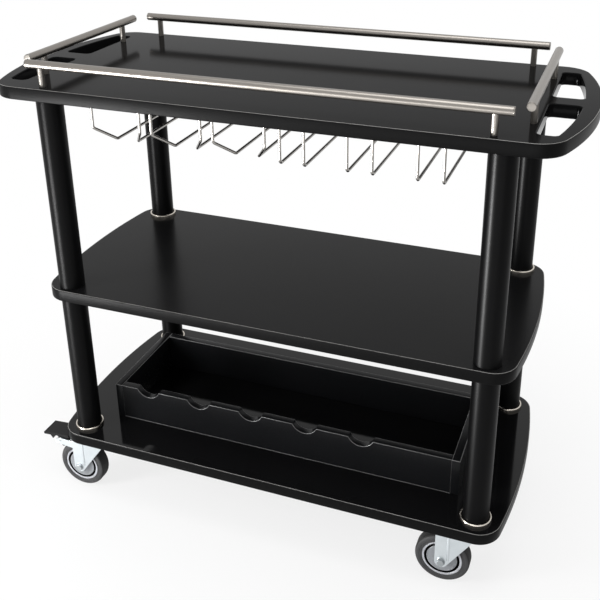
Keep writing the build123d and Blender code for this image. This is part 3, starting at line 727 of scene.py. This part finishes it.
for node in ("bottle_left_board", "bottle_right_board", "bottle_back_board"):
    low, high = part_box(node)
    bm = bmesh.new()
    bmesh.ops.create_cube(bm, size=1.0)
    size = high - low
    bmesh.ops.scale(bm, vec=size, verts=bm.verts)
    bmesh.ops.translate(bm, vec=(low + high) / 2, verts=bm.verts)
    bmesh.ops.bevel(bm, geom=list(bm.edges), offset=values["edge"], segments=3, profile=0.5, affect="EDGES")
    bm.normal_update()
    for face in bm.faces:
        # the upper rims are painted pale, a painted highlight
        face.material_index = 1 if values["highlightStrip"][0] < face.normal.z < values["highlightStrip"][1] else 0
    addPiece(node + "Lacquered", tidyMesh(bm, node + "Lacquered"), node, "rackLacquer", smooth=25.0,
             extra=("rackEdgeHighlight",))
print("bottle rack done")


# screws: one turned head with a cross recess, set out by a node tree

screwSet = {
    "plate_screws": {"head": 0.0045, "tall": 0.0026, "proud": 0.0026, "seed": 3},
    "rack_screws": {"head": 0.004, "tall": 0.0024, "proud": 0.0024, "seed": 5},
    "rail_screws": {"head": 0.005, "tall": 0.0008, "proud": 0.0004, "seed": 7},
    "bottle_screws": {"head": 0.005, "tall": 0.0008, "proud": 0.0004, "seed": 9},
}


# head pointing down, its seat at z = 0
def screwHead(name, values):
    head, proud, tall = values["head"], values["proud"], values["tall"]
    roundOff = min(proud * 0.6, 0.0013)
    profile = [(0, tall - proud), (head, tall - proud), (head, roundOff - proud)]
    profile += [(head - roundOff + x, z) for x, z in quarter(0, roundOff - proud, roundOff, 0, -90, 5)][1:]
    profile += [(0, -proud)]
    bm = bmesh.new()
    lathe(bm, profile, Matrix.Identity(4), 32)
    holder = bpy.data.objects.new(name, tidyMesh(bm, name))
    scene.collection.objects.link(holder)
    bm = bmesh.new()
    for turn in (0, math.pi / 2):
        bar = bmesh.ops.create_cube(bm, size=1.0)["verts"]
        bmesh.ops.scale(bm, vec=(head * 1.15, head * 0.24, min(0.0012, tall * 0.8) * 2), verts=bar)
        bmesh.ops.rotate(bm, cent=(0, 0, 0), matrix=Matrix.Rotation(turn, 3, "Z"), verts=bar)
        bmesh.ops.translate(bm, vec=(0, 0, -proud), verts=bar)
    cross = bpy.data.meshes.new(name + "Cross")
    bm.to_mesh(cross)
    bm.free()
    cutter = bpy.data.objects.new(name + "Cross", cross)
    scene.collection.objects.link(cutter)
    cut = holder.modifiers.new("cross", "BOOLEAN")
    cut.object = cutter
    cut.operation = "DIFFERENCE"
    cut.solver = "EXACT"
    cut.use_self = True
    mesh = evaluated(holder, name)
    bpy.data.objects.remove(cutter)
    return mesh


def makeScrewTree():
    tree = bpy.data.node_groups.new("screwRows", "GeometryNodeTree")
    face = tree.interface
    face.new_socket("Geometry", in_out="INPUT", socket_type="NodeSocketGeometry")
    for label, kind in (("Head", "NodeSocketObject"), ("Seed", "NodeSocketInt"), ("Finish", "NodeSocketMaterial")):
        face.new_socket(label, in_out="INPUT", socket_type=kind)
    face.new_socket("Geometry", in_out="OUTPUT", socket_type="NodeSocketGeometry")
    add, link = tree.nodes.new, tree.links.new
    inside, outside = add("NodeGroupInput"), add("NodeGroupOutput")
    head = add("GeometryNodeObjectInfo")
    link(inside.outputs["Head"], head.inputs["Object"])
    spin = add("FunctionNodeRandomValue")
    spin.data_type = "FLOAT_VECTOR"
    spin.inputs["Min"].default_value = (0, 0, 0)
    spin.inputs["Max"].default_value = (0, 0, math.pi)
    link(inside.outputs["Seed"], spin.inputs["Seed"])
    repeat = add("GeometryNodeInstanceOnPoints")
    link(inside.outputs["Geometry"], repeat.inputs["Points"])
    link(head.outputs["Geometry"], repeat.inputs["Instance"])
    link(spin.outputs["Value"], repeat.inputs["Rotation"])
    real = add("GeometryNodeRealizeInstances")
    link(repeat.outputs["Instances"], real.inputs["Geometry"])
    finish = add("GeometryNodeSetMaterial")
    link(real.outputs["Geometry"], finish.inputs["Geometry"])
    link(inside.outputs["Finish"], finish.inputs["Material"])
    link(finish.outputs["Geometry"], outside.inputs["Geometry"])
    return tree


screwTree = makeScrewTree()
seats = {"plate_screws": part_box("caster_plate_fl")[1].z - 0.003, "rack_screws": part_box("left_rack_straps")[0].z,
         "rail_screws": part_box("top_shelf")[0].z, "bottle_screws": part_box("bottom_shelf")[0].z}
for node, values in screwSet.items():
    head = bpy.data.objects.new(node + "Head", screwHead(node + "Head", values))
    scene.collection.objects.link(head)
    points = bpy.data.meshes.new(node + "Spots")
    points.from_pydata([(middle.x, middle.y, seats[node]) for middle, low, high in islands(node)], [], [])
    holder = bpy.data.objects.new(node + "Spots", points)
    scene.collection.objects.link(holder)
    rows = holder.modifiers.new("rows", "NODES")
    rows.node_group = screwTree
    setInputs(rows, Head=head, Seed=values["seed"], Finish=finishes["zinc"])
    mesh = evaluated(holder, node + "Heads")
    bpy.data.objects.remove(head)
    addPiece(node + "Heads", mesh, node, "zinc", smooth=30.0)
print("screws done")


# casters

casterSet = {"plateEdge": 0.0005, "forkEdge": 0.0007, "pedalEdge": 0.0011, "segments": 96}
foldSet = {"ahead": 0.013, "radius": 0.003, "sink": 0.0021, "top": 0.004, "bottom": 0.004}
axleSet = {"washer": 0.0088, "washerTall": 0.0013, "head": 0.007, "chamfer": 0.0008, "shaft": 0.005,
           "overlap": 0.0005, "pastNut": 0.003}
tyreSet = {"round": 0.007, "beads": (0.0026, 0.0052), "bead": 0.0005, "treadLines": (0.006, 0.002), "line": 0.0005,
           "seat": 0.0006}
hubSet = {"rim": 0.0047, "groove": 0.005, "grooveDepth": 0.007, "faceInset": 0.0015, "boss": 0.012,
          "bossEdge": 0.0008, "edge": 0.0006, "bore": 0.0055}


# fork with a pressed bead down each leg, along the fold ahead of the axle
def withFoldBeads(corner):
    mesh = brokenEdges("fork_" + corner, casterSet["forkEdge"])
    low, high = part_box("fork_" + corner)
    tyreLow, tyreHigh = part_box("tyre_" + corner)
    x = (tyreLow.x + tyreHigh.x) / 2 + foldSet["ahead"]
    z0, z1 = (tyreLow.z + tyreHigh.z) / 2 + foldSet["bottom"], high.z - foldSet["top"]
    radius = foldSet["radius"]
    profile = [(0, z0)] + quarter(0, z0 + radius, radius, -75, 0, 4)
    profile += quarter(0, z1 - radius, radius, 0, 75, 4) + [(0, z1)]
    beads = bmesh.new()
    beads.from_mesh(mesh)
    for y in (low.y + foldSet["sink"], high.y - foldSet["sink"]):
        lathe(beads, profile, Matrix.Translation((x, y, 0)), 16)
    for part in beads.faces:
        part.smooth = True
    beads.to_mesh(mesh)
    beads.free()
    return mesh


# washer and bolt head in front, nut behind, with the shaft between
def axleParts(bm, corner):
    low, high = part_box("axle_" + corner)
    forkLow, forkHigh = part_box("fork_" + corner)
    centre = (low + high) / 2
    values = axleSet
    for outward, seat, tip in ((-1, forkLow.y, low.y), (1, forkHigh.y, high.y)):
        place = Matrix.Translation((centre.x, seat, centre.z)) @ Matrix.Rotation(-outward * math.pi / 2, 4, "X")
        tall = abs(tip - seat)
        edge, washer, lap = values["chamfer"], values["washer"], values["overlap"]
        rim = values["washerTall"]
        profile = [(0, -lap), (washer, -lap), (washer, rim - edge / 2), (washer - edge / 2, rim), (0, rim)]
        lathe(bm, profile, place, 48)
        hexTop = tall if outward < 0 else tall - values["pastNut"]
        flat = values["head"] * 2 / math.sqrt(3)
        profile = [(0, rim - lap), (flat, rim - lap), (flat, hexTop - edge), (flat - edge, hexTop), (0, hexTop)]
        lathe(bm, profile, place, 6)
        if outward > 0:
            shaft = values["shaft"]
            length = seat - forkLow.y
            profile = [(0, -length), (shaft, -length), (shaft, tall - edge), (shaft - edge, tall), (0, tall)]
            lathe(bm, profile, place, 32)


for corner in ("fl", "fr", "bl", "br"):
    plate = "caster_plate_" + corner
    addPiece("casterPlate_" + corner, brokenEdges(plate, casterSet["plateEdge"]), plate, "zinc", smooth=None)
    addPiece("casterFork_" + corner, withFoldBeads(corner), "fork_" + corner, "zinc", smooth=None)
    bm = bmesh.new()
    axleParts(bm, corner)
    addPiece("wheelAxle_" + corner, tidyMesh(bm, "wheelAxle_" + corner), "axle_" + corner, "boltSteel", smooth=28.0)

    low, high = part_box("tyre_" + corner)
    hubLow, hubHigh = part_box("hub_" + corner)
    axis = Matrix.Translation((low + high) / 2) @ Matrix.Rotation(math.pi / 2, 4, "X")
    outer, hubRadius = (high.z - low.z) / 2, (hubHigh.z - hubLow.z) / 2
    half = (high.y - low.y) / 2
    # tyre: side wall with two thin beads, rounded shoulder, lined tread
    bead = tyreSet["bead"]
    wall = [(hubRadius, half - tyreSet["seat"]), (hubRadius + tyreSet["seat"], half)]
    for reach in tyreSet["beads"]:
        r = hubRadius + reach
        wall += [(r - bead, half), (r - bead * 0.5, half - bead), (r + bead * 0.5, half - bead), (r + bead, half)]
    shoulder = quarter(outer - tyreSet["round"], half - tyreSet["round"], tyreSet["round"], 90, 0, 8)
    line = tyreSet["line"]
    tread = []
    for h in tyreSet["treadLines"]:
        tread += [(outer, h + line), (outer - line, h + line * 0.5), (outer - line, h - line * 0.5), (outer, h - line)]
    side = wall + shoulder + tread
    tones = [0] * (len(wall) + 4) + [1] * (len(side) - len(wall) - 5)
    profile = side + [(r, -h) for r, h in reversed(side)]
    bm = bmesh.new()
    lathe(bm, profile, axis, casterSet["segments"], ring=True, tones=tones + [1] + tones[::-1] + [0])
    addPiece("wheelTyre_" + corner, tidyMesh(bm, "wheelTyre_" + corner), "tyre_" + corner, "tyreRubber", smooth=30.0,
             extra=("tyreTread",))

    # hub: pale rim ring, dark groove, plain disc, boss round the axle
    face = half - hubSet["faceInset"]
    bossFace = (hubHigh.y - hubLow.y) / 2
    ringIn = hubRadius - hubSet["rim"]
    grooveIn = ringIn - hubSet["groove"]
    boss, bossEdge, edge = hubSet["boss"], hubSet["bossEdge"], hubSet["edge"]
    front = [
        (hubSet["bore"], bossFace), (boss - bossEdge, bossFace), (boss, bossFace - bossEdge), (boss, face),
        (grooveIn - edge, face), (grooveIn, face - edge), (grooveIn, face - hubSet["grooveDepth"]),
        (ringIn, face - hubSet["grooveDepth"]), (ringIn, face - edge), (ringIn + edge, face),
        (hubRadius - edge, face), (hubRadius, face - edge),
    ]
    tones = [0] * 5 + [2] * 3 + [1] * 3
    profile = front + [(r, -h) for r, h in reversed(front)]
    bm = bmesh.new()
    lathe(bm, profile, axis, casterSet["segments"], ring=True, tones=tones + [1] + tones[::-1] + [0])
    addPiece("wheelHub_" + corner, tidyMesh(bm, "wheelHub_" + corner), "hub_" + corner, "hubGrey", smooth=30.0,
             extra=("rimGrey", "grooveBlack"))
print("casters done")


# brake pedals

pinSet = {"shaft": 0.003, "sink": 0.001, "edge": 0.0004}

for corner in ("fl", "br"):
    addPiece("brakePedal_" + corner, brokenEdges("brake_pedal_" + corner, casterSet["pedalEdge"], segments=3),
             "brake_pedal_" + corner, "pedalBlack", smooth=None)
    low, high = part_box("pedal_pin_" + corner)
    place = Matrix.Translation((low + high) / 2) @ Matrix.Rotation(math.pi / 2, 4, "X")
    half, shaft = (high.y - low.y) / 2 - pinSet["sink"], pinSet["shaft"]
    profile = [(0, -half), (shaft - pinSet["edge"], -half), (shaft, pinSet["edge"] - half)]
    profile += [(r, -h) for r, h in reversed(profile)]
    bm = bmesh.new()
    lathe(bm, profile, place, 32)
    addPiece("pedalPin_" + corner, tidyMesh(bm, "pedalPin_" + corner), "pedal_pin_" + corner, "boltSteel")
print("pedals done")


# inner pieces keep their solids and get their finish

innerFinish = {"post_plugs": "pedalBlack", "post_studs": "zinc", "shelf_inserts": "zinc", "bottle_dowels": "hiddenWood"}
for node, label in innerFinish.items():
    mesh = cadNodes[node].data
    mesh.materials.clear()
    mesh.materials.append(finishes[label])


# stage: pale floor and white surroundings; away from the object the floor is seen as white as they are

stageSet = {"floor": (0.86, 0.86, 0.86), "surround": 0.6, "fade": (0.5, 1.15), "near": 0.8}


# camera, glossy and transmission rays
def seenRays(tree):
    rays = tree.nodes.new("ShaderNodeLightPath")
    total = rays.outputs["Is Camera Ray"]
    for label in ("Is Glossy Ray", "Is Transmission Ray"):
        most = tree.nodes.new("ShaderNodeMath")
        most.operation = "MAXIMUM"
        tree.links.new(total, most.inputs[0])
        tree.links.new(rays.outputs[label], most.inputs[1])
        total = most.outputs[0]
    return total


bm = bmesh.new()
bmesh.ops.create_grid(bm, x_segments=1, y_segments=1, size=14.0)
floorMesh = bpy.data.meshes.new("floor")
bm.to_mesh(floorMesh)
bm.free()
floor = bpy.data.objects.new("floor", floorMesh)
scene.collection.objects.link(floor)
floorPaint = bpy.data.materials.new("floorPaint")
floorPaint.use_nodes = True
tree = floorPaint.node_tree
floorShader = tree.nodes["Principled BSDF"]
floorShader.inputs["Base Color"].default_value = (*stageSet["floor"], 1)
floorShader.inputs["Roughness"].default_value = 0.9
floorShader.inputs["Specular IOR Level"].default_value = 0.1
coord = tree.nodes.new("ShaderNodeTexCoord")
away = tree.nodes.new("ShaderNodeVectorMath")
away.operation = "LENGTH"
fade = tree.nodes.new("ShaderNodeMapRange")
fade.inputs["From Min"].default_value, fade.inputs["From Max"].default_value = stageSet["fade"]
fade.inputs["To Min"].default_value = stageSet["near"]
share = tree.nodes.new("ShaderNodeMath")
share.operation = "MULTIPLY"
white = tree.nodes.new("ShaderNodeEmission")
blend = tree.nodes.new("ShaderNodeMixShader")
tree.links.new(coord.outputs["Object"], away.inputs[0])
tree.links.new(away.outputs["Value"], fade.inputs["Value"])
tree.links.new(fade.outputs[0], share.inputs[0])
tree.links.new(seenRays(tree), share.inputs[1])
tree.links.new(share.outputs[0], blend.inputs["Fac"])
tree.links.new(floorShader.outputs[0], blend.inputs[1])
tree.links.new(white.outputs[0], blend.inputs[2])
tree.links.new(blend.outputs[0], tree.nodes["Material Output"].inputs["Surface"])
floorMesh.materials.append(floorPaint)

world = bpy.data.worlds.new("studio")
scene.world = world
world.use_nodes = True
tree = world.node_tree
background = tree.nodes["Background"]
background.inputs["Color"].default_value = (1, 1, 1, 1)
strength = tree.nodes.new("ShaderNodeMapRange")
strength.inputs["To Min"].default_value = stageSet["surround"]
strength.inputs["To Max"].default_value = 1.0
tree.links.new(seenRays(tree), strength.inputs["Value"])
tree.links.new(strength.outputs[0], background.inputs["Strength"])

lampSet = {
    "keyBox": {"place": (-1.8, -1.5, 0.95), "aim": (0, -0.1, 0.6), "size": (0.5, 1.9), "power": 45.0, "matt": True},
    "overBox": {"place": (0.3, -0.4, 3.6), "aim": (0, 0, 0.5), "size": (2.4, 1.6), "power": 50.0},
    "sideStrip": {"place": (-1.0, -1.1, 0.3), "aim": (0.1, -0.19, 0.4), "size": (0.45, 0.55), "power": 40.0,
                  "sheen": True},
    "frontStrip": {"place": (0.2, -2.1, 0.34), "aim": (0.1, 0, 0.6), "size": (2.6, 0.3), "power": 14.0, "sheen": True},
    "postStrip": {"place": (-0.9, -1.25, 0.28), "aim": (0.44, -0.19, 0.6), "size": (0.2, 0.4), "power": 6.0,
                  "sheen": True, "spread": 32.0},
}
for name, values in lampSet.items():
    lamp = bpy.data.lights.new(name, "AREA")
    lamp.shape = "RECTANGLE"
    lamp.size, lamp.size_y = values["size"]
    lamp.energy = values["power"]
    lamp.spread = math.radians(values.get("spread", 180.0))
    holder = bpy.data.objects.new(name, lamp)
    holder.visible_diffuse = not values.get("sheen")  # sheen lamps show only in gloss, the key only as light
    holder.visible_glossy = not values.get("matt")
    holder.location = values["place"]
    holder.rotation_euler = (Vector(values["aim"]) - Vector(values["place"])).to_track_quat("-Z", "Y").to_euler()
    scene.collection.objects.link(holder)


# camera at the photograph's place; picture taken as 600 by 600

cameraSet = {"place": (0.61899, -1.55387, 1.40803), "turn": (67.36309, 0.34639, 20.10815), "lens": 53.77724,
             "shift": (-0.032059, -0.183333)}

camera = bpy.data.cameras.new("camera")
camera.sensor_width = 36.0
camera.lens = cameraSet["lens"]
camera.shift_x, camera.shift_y = cameraSet["shift"]
cameraHolder = bpy.data.objects.new("camera", camera)
cameraHolder.location = cameraSet["place"]
cameraHolder.rotation_euler = [math.radians(a) for a in cameraSet["turn"]]
scene.collection.objects.link(cameraHolder)
scene.camera = cameraHolder
print("stage done")
